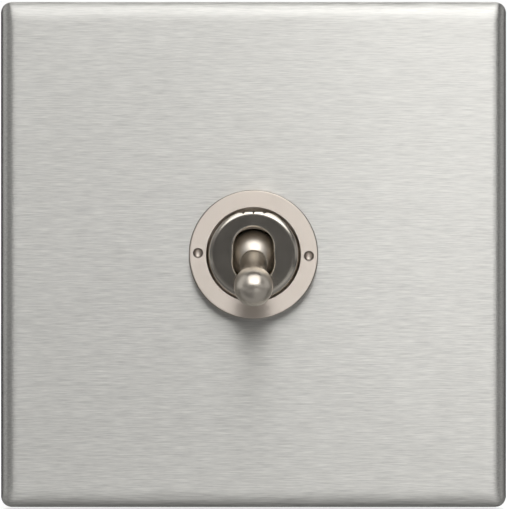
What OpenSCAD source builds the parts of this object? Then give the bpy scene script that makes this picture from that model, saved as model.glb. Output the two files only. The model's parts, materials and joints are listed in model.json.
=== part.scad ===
// Wall light switch: a square metal plate with a round-tipped lever, and a changeover switch case behind.
// X runs right, Z runs up and the front faces minus Y. The origin is the plate's middle on the wall plane.

/* [Front plate] */
// Width and height of the square front plate
plate_w = 88; // [86:1:94]
// Height of the plate's face above the wall
plate_depth = 5; // [4.8:0.1:5.6]
// Thickness of the plate's sheet
sheet_t = 1.2; // [1:0.1:1.3]
// Radius of the rolled edge between the plate's face and sides
edge_r = 2.4; // [2:0.1:2.8]
// Radius of the plate's corners seen from the front
corner_r = 1.9; // [1.6:0.1:2.4]

/* [Ring nut] */
// Width of the ring nut's band round the bush
ring_band = 3.2; // [3:0.1:4.5]
// Thickness of the ring nut
ring_h = 2.4; // [2:0.1:3]
// Radius of the ring nut's outer edge
ring_round = 0.5; // [0.3:0.1:0.7]
// Width of the bevel at the ring nut's mouth
ring_bevel = 0.25; // [0.1:0.05:0.3]
// Diameter of each blind spanner hole
spanner_d = 1.7; // [1.2:0.1:1.8]
// Depth of each spanner hole to its shoulder
spanner_deep = 0.9; // [0.5:0.1:1.2]
// Distance from the ring nut's edge in to each spanner hole's middle
spanner_in = 1.6; // [1.4:0.05:1.7]
// Turn of the ring nut about its axis, in degrees
ring_turn = -1.5; // [-30:0.5:30]

/* [Bush] */
// Diameter of the bush's threaded barrel
barrel_d = 15.9; // [15.6:0.1:16.1]
// Height of the bush's face above the ring nut
bush_proud = 0.2; // [0:0.1:0.5]
// Width of the bevel around the bush's face
rim_w = 1.2; // [0.6:0.1:1.4]
// Depth of the bevel around the bush's face
rim_deep = 0.5; // [0.3:0.1:0.8]
// Thickness of the bush's front wall
front_wall = 1.6; // [1.2:0.1:1.8]
// Distance from the axis to the keying flat on top of the barrel
flat_off = 7.28; // [7.1:0.02:7.4]
// Height of the locating land above the keying flat
land_rise = 0.2; // [0.1:0.05:0.25]
// Half width of the locating land
land_half = 1.83; // [1.4:0.1:2.2]
// Width of each locating notch
notch_w = 0.3; // [0.2:0.05:0.4]
// Width of the lever slot
slot_w = 7.4; // [7:0.1:8]
// Height of the lever slot
slot_h = 9.84; // [9.7:0.02:10.4]
// Diameter of the bore that the lever's ball swings in
ball_bore = 9; // [8.8:0.1:9.4]
// Height of the relief that the lever's tail swings in
tail_relief = 11.4; // [11.2:0.1:12]
// Thickness of the bush's rear flange
flange_t = 2; // [1.6:0.1:2.4]

/* [Lever] */
// Angle that the lever swings from down to up, in degrees
lever_throw = 48; // [40:1:48]
// Distance from the bush's face back to the lever's pivot
pivot_deep = 4.5; // [4.4:0.1:4.9]
// Radius of the lever's ball
ball_r = 4.2; // [4:0.05:4.3]
// Diameter of the neck where it leaves the ball
neck_d = 4.6; // [4:0.1:4.8]
// Diameter of the neck where it meets the round tip
neck_end_d = 4.4; // [3.8:0.1:4.6]
// Bevel at the foot of the neck
neck_bevel = 0.2; // [0.1:0.05:0.4]
// Diameter of the round tip
tip_d = 6.68; // [6:0.04:8]
// Length of the straight band round the tip
tip_band = 0.54; // [0.2:0.02:2]
// Distance from the pivot to the middle of the tip
tip_reach = 13.4; // [12.5:0.1:16]
// Diameter of the spigot that the knob is pressed on
spigot_d = 2.8; // [2:0.1:3]
// Distance from the pivot to the spigot's end
spigot_reach = 9.5; // [7:0.1:11]
// Diameter of the lever's tail
tail_d = 5.2; // [5:0.1:5.4]
// Distance from the pivot to the tail's end
tail_reach = 5.6; // [5:0.1:5.8]
// Diameter of the spring bore in the tail
spring_bore = 3.6; // [3.4:0.1:3.8]
// Depth of the spring bore past the pivot
bore_past = 2.5; // [1.5:0.1:2.8]
// Diameter of each pivot pin
pin_d = 2; // [1.6:0.1:2.2]
// Distance from the axis to the inner end of each pivot pin
pin_inner = 2.4; // [2.3:0.05:2.6]
// Distance from the barrel's side in to the outer end of each pivot pin
pin_in = 0.95; // [0.75:0.05:1.5]

/* [Spring and plunger] */
// Diameter of the spring's wire
wire_d = 0.4; // [0.3:0.05:0.45]
// Outer diameter of the spring
spring_d = 3; // [2.6:0.1:3.2]
// Number of turns in the spring
spring_turns = 6.5; // [4:0.5:8]
// Distance from the pivot to the middle of the plunger's round end
plunger_reach = 7.5; // [7.3:0.1:7.7]
// Radius of the plunger's round end
plunger_r = 1.2; // [1.1:0.05:1.3]
// Distance from the pivot to the front of the plunger's head
plunger_head_at = 3; // [2.6:0.1:3.2]
// Length of the plunger's head
plunger_head = 1.6; // [1.2:0.1:1.9]

/* [Rocker contact] */
// Tilt of the rocker for each degree that the lever turns
rocker_share = 0.3333; // [0.3:0.01:0.34]
// Thickness of the rocker's strip
strip_t = 0.8; // [0.6:0.1:0.9]
// Width of the rocker's strip
rocker_w = 6.5; // [5:0.1:7]
// Half angle that the rocker's saddle wraps round, in degrees
saddle_half = 52; // [50:0.5:54]
// Distance from the rocker's middle to the end of each arm
arm_end = 11.6; // [11.2:0.1:12.4]
// Distance from the rocker's middle to each contact tip
contact_at = 10; // [9.6:0.1:10.2]
// Diameter of each contact tip
contact_d = 3; // [2.4:0.1:3.2]
// Height of each contact tip
contact_h = 0.9; // [0.6:0.1:1.1]
// Radius of the rib that the rocker tilts on
rib_r = 1; // [0.8:0.05:1.1]
// Distance from the rib's axis to the back of the rocker's saddle
rib_stand = 0.3; // [0.2:0.05:0.4]
// Half height of the post that the rocker tilts on
post_half = 2.2; // [1.6:0.1:2.4]
// Distance from the rib's axis back to the front of the post
post_front = 0.3; // [0.2:0.05:0.5]
// Margin of each fixed contact's pad round its tip
pad_margin = 0.4; // [0.2:0.1:0.6]
// Height of the post that the rocker tilts on, from its axis to the chamber floor
post_h = 5.1; // [4.8:0.1:6]

/* [Switch case] */
// Width of the case and of the bush's flange
case_w = 26.4; // [26.2:0.2:30]
// Height of the case and of the bush's flange
case_h = 36.8; // [36.6:0.2:42]
// Corner radius of the case
case_corner = 2; // [1:0.1:2.2]
// Thickness of the case's side walls
case_wall = 3.8; // [3.6:0.1:4]
// Thickness of the wall between the chamber and the terminal bays
web_t = 1.6; // [1.2:0.1:2.4]
// Thickness of the case's back wall
back_t = 1.4; // [1:0.1:2]
// Distance from the case's sides in to each case screw
case_screw_in = 2; // [1.8:0.1:2.2]
// Diameter of each case screw
case_screw_d = 2.1; // [1.8:0.1:2.2]
// Diameter of each case screw's head
case_head_d = 3.8; // [3.2:0.1:4]
// Height of each case screw's head
case_head_h = 1.2; // [0.8:0.1:1.6]

/* [Terminals] */
// Width of each terminal block
block_w = 6.6; // [6.2:0.1:6.8]
// Depth of each terminal block from front to back
block_d = 6.4; // [6:0.1:7]
// Length of each terminal block
block_l = 9.4; // [8.6:0.1:9.5]
// Distance from the case's side in to each terminal block's side
block_in = 4; // [3.9:0.05:4.2]
// Distance from the block's end back to the case's end
block_recess = 0.4; // [0.2:0.1:0.6]
// Diameter of each wire hole
wire_hole = 3.2; // [2.6:0.1:3.4]
// Depth of each wire hole
wire_deep = 8; // [6.5:0.1:8.2]
// Metal left in front of each wire hole
wire_skin = 0.8; // [0.6:0.1:1]
// Diameter of each terminal screw
clamp_d = 3; // [2.4:0.1:3.2]
// Length of each terminal screw
clamp_l = 4.2; // [3.8:0.1:5]
// Width of the driver slot in each screw
driver_slot = 0.7; // [0.5:0.1:0.9]
// Depth of the driver slot in each terminal screw
driver_deep = 0.8; // [0.5:0.1:1]
// Distance from each block's end to its clamp screw
clamp_at = 4.4; // [3.4:0.1:5]
// Diameter of each hole in the case over a clamp screw
clamp_access = 5; // [4:0.1:5.6]
// Thickness of the terminals' straps
strap_t = 1.2; // [1:0.1:1.3]
// Height of the strap that passes from each block into the chamber
riser_h = 3.2; // [2.6:0.1:3.6]

/* [Yoke and fixings] */
// Width of the mounting yoke
yoke_w = 76; // [74:1:78]
// Height of the mounting yoke
yoke_h = 66; // [62:1:72]
// Thickness of the mounting yoke
yoke_t = 1.2; // [1:0.1:1.4]
// Corner radius of the mounting yoke
yoke_corner = 4; // [2:0.5:6]
// Gap between the yoke's back and the wall plane
wall_gap = 0.2; // [0.1:0.05:0.3]
// Width of the gaps between the lock washer's teeth
tooth_gap = 1.6; // [1:0.1:2.4]
// Depth of the gaps between the lock washer's teeth
tooth_deep = 0.6; // [0.3:0.1:1]
// Number of teeth in the lock washer
tooth_count = 12; // [8:1:16]
// Thickness of the lock washer
washer_t = 0.6; // [0.4:0.1:0.8]
// Width of the lock washer's band
washer_band = 2.1; // [1.6:0.1:2.8]
// Thinnest wall of the lock nut, at the middle of each flat
nut_wall = 2; // [1.5:0.1:2.5]
// Distance between the two wall fixing screws
fixing_pitch = 60.3; // [60:0.1:60.6]
// Diameter of the wall fixing screws' thread
fixing_d = 3.5; // [3.3:0.1:4]
// Diameter of the plain neck under each fixing screw's head
fixing_neck = 3; // [2.6:0.1:3.2]
// Length of each fixing screw under its head
fixing_l = 25; // [16:1:40]
// Diameter of each fixing screw's head
fixing_head_d = 6.4; // [5.6:0.1:7]
// Depth of the driver slot in each fixing screw
fixing_slot_deep = 1; // [0.6:0.1:1.2]
// Height of each fixing screw's head
fixing_head_h = 1.9; // [1.5:0.1:2]
// Width of each fixing slot beyond the screw's neck
fixing_play = 0.6; // [0.3:0.1:0.8]
// Length of each fixing slot in the yoke
fixing_slot = 6.4; // [4.5:0.1:7]
// Diameter of each retaining washer on the fixing screws
keeper_d = 7.6; // [7:0.1:9]
// Thickness of each retaining washer
keeper_t = 0.8; // [0.5:0.1:1.2]
// Length of plain neck behind each retaining washer
neck_spare = 1.6; // [0.8:0.1:2]
// Width and height of the earth terminal
earth_w = 7; // [6.6:0.1:8]
// Diameter of the rivet that holds the earth terminal
rivet_d = 4; // [3:0.1:4.4]
// Sideways position of the earth terminal
earth_x = -25; // [-28:0.5:-22]
// Upward position of the earth terminal
earth_z = -21; // [-24:0.5:-18]

/* [Insulating liner] */
// Gap between the liner's rim and the start of the plate's rolled edge
liner_gap = 1.1; // [0.4:0.1:1.6]
// Thickness of the liner's front web
liner_web = 1; // [0.6:0.1:1.4]
// Width of the rib round the liner's rim
liner_rib = 9.5; // [9:0.5:11]
// Corner radius of the liner
liner_corner = 2; // [1:0.1:3]
// Gap between the lock nut's corners and the liner's centre hole
nut_gap = 0.953; // [0.5:0.001:2]
// Diameter of the liner's holes over the fixing screws
liner_access = 8.4; // [7.6:0.1:9]
// Diameter of the pegs that locate the liner on the yoke
peg_d = 3; // [2:0.1:4]
// Distance from the yoke's sides in to each peg
peg_side = 4; // [3.5:0.5:5]
// Distance from the yoke's top and bottom in to each peg
peg_end = 7; // [5:0.5:13]

/* [Clearances] */
// Gap between the screwed threads
thread_gap = 0.05; // [0.02:0.01:0.08]
// Running gap round pins and plungers
running_gap = 0.05; // [0.02:0.01:0.08]
// Gap round pieces that drop into place
drop_gap = 0.1; // [0.05:0.01:0.15]
// Gap between the knob and the ball
seat_gap = 0.06; // [0.03:0.01:0.1]
// Gap between the plunger's end and the rocker's saddle
saddle_gap = 0.2; // [0.15:0.01:0.25]
// Gap between closed contacts
contact_gap = 0.05; // [0.02:0.01:0.1]

/* [Hidden] */
$fn = 72;

// Margin by which cuts run past the faces they open
past = 1;
// Overlap that joins the lumps of one piece
lap = 0.3;
face_y = -plate_depth;
inner_y = face_y + sheet_t;
ring_y = face_y - ring_h;
bush_y = ring_y - bush_proud;
pivot_y = bush_y + pivot_deep;
yoke_back = -wall_gap;
yoke_front = yoke_back - yoke_t;
washer_front = yoke_front - washer_t;
flange_back = yoke_back + flange_t;
liner_w = plate_w - 2 * (edge_r + liner_gap);
peg_x = yoke_w / 2 - peg_side;
peg_z = yoke_h / 2 - peg_end;
lever_tilt = lever_throw / 2;
rocker_tilt = lever_tilt * rocker_share;
barrel_r = barrel_d / 2;
thread_r = barrel_r + thread_gap;
passing_r = thread_r + drop_gap;
ring_r = thread_r + ring_band;
pin_outer = barrel_r - pin_in;
nut_corner = (thread_r + nut_wall) / cos(30);

// The rocker's axis lies behind the plunger's resting place by the strip, the gap and the rib
fulcrum_reach = plunger_reach + plunger_r + saddle_gap + strip_t + rib_stand;
fulcrum_y = pivot_y + fulcrum_reach;
// The saddle follows the plunger's path as the rocker sees it
path_slope = plunger_reach * (1 + rocker_share) - fulcrum_reach * rocker_share;
path_bend = plunger_reach * pow(1 + rocker_share, 2) - fulcrum_reach * pow(rocker_share, 2);
path_r = path_slope * path_slope / path_bend;
saddle_y = plunger_reach - fulcrum_reach - path_r;
saddle_r = path_r + plunger_r + saddle_gap;
arm_y = saddle_y + (saddle_r + strip_t / 2) * cos(saddle_half);
arm_z = (saddle_r + strip_t / 2) * sin(saddle_half);
closed_y = arm_y + strip_t / 2 + contact_h + contact_gap;
pad_y = closed_y + contact_h;

chamber_w = case_w - 2 * case_wall;
chamber_h = case_h - 2 * case_wall;
case_screw_x = case_w / 2 - case_screw_in;
case_screw_z = case_h / 2 - case_screw_in;
block_x = case_w / 2 - block_in - block_w / 2;
floor_y = fulcrum_y + post_h;
bay_y = floor_y + web_t;
bay_back = bay_y + block_d + drop_gap;
case_back = bay_back + back_t;
block_top = case_h / 2 - block_recess;
block_low = block_top - block_l;
wire_y = bay_y + wire_skin + wire_hole / 2;
clamp_z = block_top - clamp_at;
clamp_y = wire_y + wire_hole / 2 + drop_gap;
riser_x = block_x + block_w / 2 - strap_t;
earth_wire_y = yoke_back + wire_skin + wire_hole / 2;
earth_clamp_y = earth_wire_y + wire_hole / 2 + drop_gap;
neck_back = yoke_back + keeper_t + neck_spare;

module slab(front, back) {
  translate([0, back, 0]) rotate([90, 0, 0]) linear_extrude(height = back - front) children();
}

module turned() {
  rotate([-90, 0, 0]) rotate_extrude() children();
}

module bar(from, to) {
  translate([from, 0, 0]) rotate([90, 0, 90]) linear_extrude(height = to - from) children();
}

module box(x, y, z) {
  translate([x[0], y[0], z[0]]) cube([x[1] - x[0], y[1] - y[0], z[1] - z[0]]);
}

module drill(d, front, back) {
  slab(front, back) circle(d = d);
}

module rounded(w, h, r) {
  square([w - 2 * r, h], center = true);
  square([w, h - 2 * r], center = true);
  for (x = [-1, 1], y = [-1, 1]) translate([x * (w / 2 - r), y * (h / 2 - r)]) circle(r = r);
}

module obround(w, h) {
  square([w, h - w], center = true);
  for (y = [-1, 1]) translate([0, y * (h - w) / 2]) circle(d = w);
}

module on_lever() {
  translate([0, pivot_y, 0]) rotate([90 + lever_tilt, 0, 0]) children();
}

module on_rocker() {
  translate([0, fulcrum_y, 0]) rotate([-rocker_tilt, 0, 0]) children();
}

module at_terminals() {
  for (s = [[-1, 1], [1, 1], [-1, -1]]) translate([s[0] * block_x, 0, s[1] * clamp_z]) children();
}

module at_case_screws() {
  for (x = [-1, 1], z = [-1, 1]) translate([x * case_screw_x, 0, z * case_screw_z]) children();
}

module at_fixings() {
  for (x = [-1, 1]) translate([x * fixing_pitch / 2, 0, 0]) children();
}

module at_pegs() {
  for (x = [-1, 1], z = [-1, 1]) translate([x * peg_x, 0, z * peg_z]) children();
}

// The plate's form, rolled over on all four sides: three prisms with rounded sections, crossed
module plate_body(inset, back) {
  reach = plate_w - 2 * inset;
  deep = plate_depth - inset;
  roll = edge_r - inset;
  intersection() {
    linear_extrude(height = 2 * plate_w, center = true) rolled(reach, deep, roll, back);
    rotate([0, 90, 0]) linear_extrude(height = 2 * plate_w, center = true) rolled(reach, deep, roll, back);
    slab(-deep - past, back + past) rounded(reach, reach, corner_r - inset);
  }
}

// Section across the plate, with its two front corners rolled
module rolled(wide, deep, roll, back) {
  translate([-wide / 2, roll - deep]) square([wide, deep - roll + back]);
  translate([roll - wide / 2, -deep]) square([wide - 2 * roll, deep]);
  for (x = [-1, 1]) translate([x * (wide / 2 - roll), roll - deep]) circle(r = roll);
}

module front_plate() {
  color([0.62, 0.61, 0.59]) difference() {
    plate_body(0, 0);
    plate_body(sheet_t, past);
    drill(2 * passing_r, face_y - past, inner_y + past);
  }
}

module ring_nut() {
  r = ring_r;
  color([0.66, 0.6, 0.54]) difference() {
    union() {
      turned() polygon([
        [thread_r, face_y], [r, face_y], [r, ring_y + ring_round], [r - ring_round, ring_y + ring_round],
        [r - ring_round, ring_y], [thread_r + ring_bevel, ring_y], [thread_r, ring_y + ring_bevel]
      ]);
      turned() intersection() {
        translate([r - ring_round, ring_y + ring_round]) circle(r = ring_round);
        translate([r - ring_round, ring_y]) square(ring_round);
      }
    }
    for (a = [0, 180]) rotate([0, -ring_turn - a, 0]) translate([ring_r - spanner_in, 0, 0])
      turned() polygon([
        [0, ring_y - past], [spanner_d / 2, ring_y - past], [spanner_d / 2, ring_y + spanner_deep],
        [0, ring_y + spanner_deep + spanner_d * 0.3]
      ]);
  }
}

module lock_nut() {
  color([0.6, 0.58, 0.53]) slab(inner_y, washer_front) difference() {
    circle(r = nut_corner, $fn = 6);
    circle(r = thread_r);
  }
}

module lock_washer() {
  color([0.5, 0.5, 0.5]) slab(washer_front, yoke_front) difference() {
    circle(r = passing_r + washer_band);
    circle(r = passing_r);
    for (i = [1 : tooth_count]) rotate(360 * (i - 0.5) / tooth_count) translate([passing_r, 0])
      square([2 * tooth_deep, tooth_gap], center = true);
  }
}

module keyed_hole() {
  intersection() {
    circle(r = passing_r);
    translate([-barrel_d, flat_off + land_rise + drop_gap - 2 * barrel_d]) square(2 * barrel_d);
  }
}

module mounting_yoke() {
  color([0.68, 0.69, 0.7]) difference() {
    slab(yoke_front, yoke_back) difference() {
      rounded(yoke_w, yoke_h, yoke_corner);
      keyed_hole();
    }
    at_fixings() slab(yoke_front - past, yoke_back + past) rotate(90)
      obround(fixing_neck + fixing_play, fixing_slot);
    at_pegs() drill(peg_d + drop_gap, yoke_front - past, yoke_back + past);
    translate([earth_x, 0, earth_z]) drill(rivet_d + drop_gap, yoke_front - past, yoke_back + past);
  }
}

module insulating_liner() {
  color([0.06, 0.06, 0.065]) difference() {
    union() {
      slab(inner_y, inner_y + liner_web) rounded(liner_w, liner_w, liner_corner);
      slab(inner_y, yoke_front) difference() {
        rounded(liner_w, liner_w, liner_corner);
        rounded(liner_w - 2 * liner_rib, liner_w - 2 * liner_rib, liner_corner);
      }
      at_pegs() drill(peg_d, inner_y, yoke_back);
    }
    drill(2 * (nut_corner + nut_gap), inner_y - past, yoke_front + past);
    at_fixings() drill(liner_access, inner_y - past, yoke_front + past);
    translate([earth_x, 0, earth_z]) drill(rivet_d + 10 * drop_gap, inner_y - past, yoke_front + past);
  }
}

module bush() {
  color([0.36, 0.34, 0.32]) difference() {
    union() {
      turned() polygon([
        [0, yoke_back + lap], [barrel_r, yoke_back + lap], [barrel_r, bush_y + rim_deep],
        [barrel_r - rim_w, bush_y], [0, bush_y]
      ]);
      slab(yoke_back, flange_back) rounded(case_w, case_h, case_corner);
    }
    slab(bush_y - past, yoke_back) keying();
    slab(bush_y - past, bush_y + front_wall + past) obround(slot_w, slot_h);
    drill(ball_bore, bush_y + front_wall, pivot_y + past);
    slab(pivot_y, flange_back + past) obround(ball_bore, tail_relief);
    translate([0, pivot_y, 0]) rotate([0, 90, 0]) cylinder(d = pin_d, h = 3 * barrel_r, center = true);
    at_case_screws() drill(case_screw_d, yoke_back - past, flange_back + past);
  }
}

// The flat along the barrel's top, with its raised land and three notches
module keying() {
  top = flat_off + land_rise;
  for (x = [-1, 1]) translate([x * (land_half + barrel_r / 2), flat_off + past])
    square([barrel_r, 2 * past], center = true);
  translate([-barrel_r, top]) square([barrel_d, past]);
  for (x = [-1, 0, 1]) translate([x * land_half, flat_off]) square([notch_w, 2 * land_rise], center = true);
}

module pivot_pins() {
  color([0.55, 0.55, 0.56]) for (x = [-1, 1]) translate([x * (pin_inner + pin_outer) / 2, pivot_y, 0])
    rotate([0, 90, 0]) cylinder(d = pin_d, h = pin_outer - pin_inner, center = true);
}

module dolly_lever() {
  color([0.7, 0.67, 0.63]) on_lever() difference() {
    rotate_extrude() {
      intersection() {
        circle(r = ball_r);
        translate([0, -ball_r]) square([ball_r, 2 * ball_r]);
      }
      square([spigot_d / 2, spigot_reach]);
      translate([0, -tail_reach]) square([tail_d / 2, tail_reach]);
    }
    translate([0, 0, -tail_reach - past]) cylinder(d = spring_bore, h = tail_reach + bore_past + past);
    for (x = [-1, 1]) translate([x * (pin_inner - drop_gap + ball_r), 0, 0]) rotate([0, 90, 0])
      cylinder(d = pin_d + 2 * running_gap, h = 2 * ball_r, center = true);
  }
}

module dolly_knob() {
  seat_r = ball_r + seat_gap;
  base = sqrt(seat_r * seat_r - neck_d * neck_d / 4) - neck_bevel / 4;
  tip_r = tip_d / 2;
  join = tip_reach - tip_band / 2 - sqrt(tip_r * tip_r - neck_end_d * neck_end_d / 4);
  color([0.5, 0.46, 0.42]) on_lever() difference() {
    rotate_extrude() {
      polygon([
        [0, base], [neck_d / 2 - neck_bevel, base], [neck_d / 2, base + neck_bevel], [neck_end_d / 2, join],
        [neck_end_d / 2, tip_reach - tip_band / 2], [tip_r, tip_reach - tip_band / 2],
        [tip_r, tip_reach + tip_band / 2], [0, tip_reach + tip_band / 2]
      ]);
      for (s = [-1, 1]) intersection() {
        translate([0, tip_reach + s * tip_band / 2]) circle(r = tip_r);
        translate([0, tip_reach - tip_d]) square([tip_r, 2 * tip_d]);
      }
    }
    sphere(r = seat_r);
    cylinder(d = spigot_d, h = spigot_reach + drop_gap);
  }
}

module plunger() {
  color([0.85, 0.84, 0.8]) on_lever() {
    translate([0, 0, -plunger_head_at - plunger_head])
      cylinder(d = spring_bore - 2 * running_gap, h = plunger_head);
    translate([0, 0, -plunger_reach])
      cylinder(r = plunger_r, h = plunger_reach - plunger_head_at - plunger_head + lap);
    translate([0, 0, -plunger_reach]) sphere(r = plunger_r);
  }
}

// Round wire wound from the bottom of the spring bore to the plunger's head
module detent_spring() {
  sides = 8;
  steps = 22 * spring_turns;
  coil_r = (spring_d - wire_d) / 2;
  rise = bore_past + plunger_head_at - wire_d;
  ring = [for (i = [0 : steps], j = [0 : sides - 1])
    let (a = 360 * spring_turns * i / steps, b = 360 * j / sides, r = coil_r + wire_d / 2 * cos(b))
      [r * cos(a), r * sin(a), rise * i / steps + wire_d / 2 * sin(b)]];
  skin = [for (i = [0 : steps - 1], j = [0 : sides - 1])
    let (k = (j + 1) % sides)
      [i * sides + j, i * sides + k, (i + 1) * sides + k, (i + 1) * sides + j]];
  ends = [[for (j = [sides - 1 : -1 : 0]) j], [for (j = [0 : sides - 1]) steps * sides + j]];
  color([0.75, 0.75, 0.76]) on_lever() translate([0, 0, wire_d / 2 - plunger_head_at])
    polyhedron(points = ring, faces = concat(skin, ends), convexity = 10);
}

module switch_case() {
  bay_half = block_w / 2 + 2 * drop_gap;
  color([0.83, 0.81, 0.76]) difference() {
    slab(flange_back, case_back) rounded(case_w, case_h, case_corner);
    slab(flange_back - past, floor_y) square([chamber_w, chamber_h], center = true);
    for (s = [[-1, 1], [1, 1], [-1, -1]]) scale([s[0], 1, s[1]]) {
      box([block_x - bay_half, block_x + bay_half], [bay_y, bay_back], [block_low - drop_gap, case_h]);
      box([riser_x - drop_gap, block_x + bay_half], [floor_y - past, bay_y + past],
        [block_low, block_low + riser_h + drop_gap]);
    }
    at_terminals() drill(clamp_access, bay_back - past, case_back + past);
    at_case_screws() drill(case_screw_d + drop_gap, flange_back - past, case_back + past);
  }
}

module rocker_contact() {
  far = 3 * saddle_r * [cos(saddle_half), sin(saddle_half)];
  color([0.78, 0.6, 0.28]) on_rocker() bar(-rocker_w / 2, rocker_w / 2) {
    intersection() {
      translate([saddle_y, 0]) difference() {
        circle(r = saddle_r + strip_t);
        circle(r = saddle_r);
      }
      translate([saddle_y, 0])
        polygon([[0, 0], far, [far[0], -far[1]]]);
    }
    for (z = [-1, 1]) translate([arm_y, z * (arm_z + arm_end) / 2])
      square([strip_t, arm_end - arm_z + lap], center = true);
    circle(r = rib_r);
  }
}

module contact_button(front, z) {
  translate([0, 0, z]) drill(contact_d, front, front + contact_h);
}

module rocker_tips() {
  color([0.86, 0.85, 0.82]) on_rocker() for (z = [-1, 1]) contact_button(arm_y + strip_t / 2, z * contact_at);
}

module fixed_contact_tips() {
  color([0.86, 0.85, 0.82]) for (z = [0, 1]) mirror([0, 0, z]) on_rocker() contact_button(closed_y, contact_at);
}

// Brass block with a wire hole from its end and a clamp screw from the back
module terminal_block() {
  difference() {
    box([-block_w / 2, block_w / 2], [bay_y, bay_y + block_d], [block_low, block_top]);
    translate([0, wire_y, block_top - wire_deep]) cylinder(d = wire_hole, h = wire_deep + past);
    translate([0, 0, clamp_z]) drill(clamp_d, wire_y, bay_back + past);
  }
}

// A block at the top left, with a strap that runs to its fixed contact
module line_terminal() {
  pad_low = contact_at - contact_d / 2 - pad_margin;
  pad_high = contact_at + contact_d / 2 + pad_margin;
  riser_front = fulcrum_y + pad_y + contact_at * sin(rocker_tilt) + strap_t / 2;
  translate([-block_x, 0, 0]) terminal_block();
  on_rocker() box([-riser_x - strap_t, contact_d / 2 + pad_margin], [pad_y, pad_y + strap_t],
    [pad_low, pad_high]);
  box([-riser_x - strap_t, -riser_x], [riser_front, bay_y + lap], [block_low + drop_gap, block_low + riser_h]);
}

module terminal_one() {
  color([0.72, 0.54, 0.25]) line_terminal();
}

module terminal_two() {
  color([0.72, 0.54, 0.25]) mirror([0, 0, 1]) line_terminal();
}

module common_terminal() {
  half = rocker_w / 2;
  edge = riser_x + strap_t;
  strap_front = floor_y - strap_t;
  color([0.72, 0.54, 0.25]) {
    translate([block_x, 0, 0]) terminal_block();
    difference() {
      box([-half, half], [fulcrum_y + post_front, floor_y], [-post_half, post_half]);
      translate([0, fulcrum_y, 0]) rotate([0, 90, 0])
        cylinder(r = rib_r + running_gap, h = 2 * rocker_w, center = true);
    }
    box([half - lap, edge], [strap_front, floor_y], [-post_half, post_half]);
    box([riser_x, edge], [strap_front, floor_y], [0, block_low + riser_h]);
    box([riser_x, edge], [strap_front, bay_y + lap], [block_low + drop_gap, block_low + riser_h]);
  }
}

module clamp_screw(front) {
  difference() {
    drill(clamp_d, front, front + clamp_l);
    box([-clamp_d, clamp_d], [front + clamp_l - driver_deep, front + clamp_l + past],
      [-driver_slot / 2, driver_slot / 2]);
  }
}

module terminal_screws() {
  color([0.66, 0.62, 0.55]) at_terminals() clamp_screw(clamp_y);
}

module case_screws() {
  color([0.6, 0.6, 0.61]) at_case_screws() difference() {
    union() {
      drill(case_screw_d, yoke_back + drop_gap, case_back + lap);
      drill(case_head_d, case_back, case_back + case_head_h);
    }
    box([-case_head_d, case_head_d], [case_back + case_head_h / 2, case_back + case_head_h + past],
      [-driver_slot / 2, driver_slot / 2]);
  }
}

module fixing_screws() {
  head_front = yoke_front - fixing_head_h;
  color([0.72, 0.72, 0.73]) at_fixings() difference() {
    union() {
      drill(fixing_head_d, head_front, yoke_front);
      drill(fixing_neck, yoke_front - lap, neck_back + lap);
      drill(fixing_d, neck_back, yoke_front + fixing_l);
    }
    box([-fixing_head_d, fixing_head_d], [head_front - past, head_front + fixing_slot_deep],
      [-driver_slot / 2, driver_slot / 2]);
  }
}

module screw_keepers() {
  color([0.8, 0.8, 0.78]) at_fixings() slab(yoke_back, yoke_back + keeper_t) difference() {
    circle(d = keeper_d);
    circle(d = fixing_neck);
  }
}

module earth_terminal() {
  color([0.72, 0.54, 0.25]) translate([earth_x, 0, earth_z]) difference() {
    union() {
      box([-earth_w / 2, earth_w / 2], [yoke_back, yoke_back + block_d], [-earth_w / 2, earth_w / 2]);
      drill(rivet_d, yoke_front, yoke_back + lap);
    }
    translate([-earth_w / 2 - past, earth_wire_y, 0]) rotate([0, 90, 0])
      cylinder(d = wire_hole, h = earth_w - wire_skin + past);
    drill(clamp_d, earth_wire_y, yoke_back + block_d + past);
  }
}

module earth_screw() {
  color([0.66, 0.62, 0.55]) translate([earth_x, 0, earth_z]) clamp_screw(earth_clamp_y);
}

front_plate();
ring_nut();
lock_nut();
lock_washer();
mounting_yoke();
insulating_liner();
bush();
pivot_pins();
dolly_lever();
dolly_knob();
plunger();
detent_spring();
switch_case();
rocker_contact();
rocker_tips();
common_terminal();
terminal_one();
terminal_two();
fixed_contact_tips();
terminal_screws();
case_screws();
fixing_screws();
screw_keepers();
earth_terminal();
earth_screw();
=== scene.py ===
# %% [markdown]
# # A wall light switch, dressed for a photograph
# The switch is a square brushed steel plate with a nickel ring nut, a polished bush and a small
# round-tipped lever in the middle. Behind the plate sits a moulded case with brass terminals. The solid
# model of every piece already exists, so this lesson loads it as a fixed frame, builds finer meshes for
# the pieces that show, and gives each piece a finish made of shader nodes.

# %% Load the solid model
import json
from math import acos, asin, atan2, cos, degrees, pi, radians, sin, sqrt, tan

import bmesh
import bpy
from mathutils import Matrix, Vector


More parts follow.
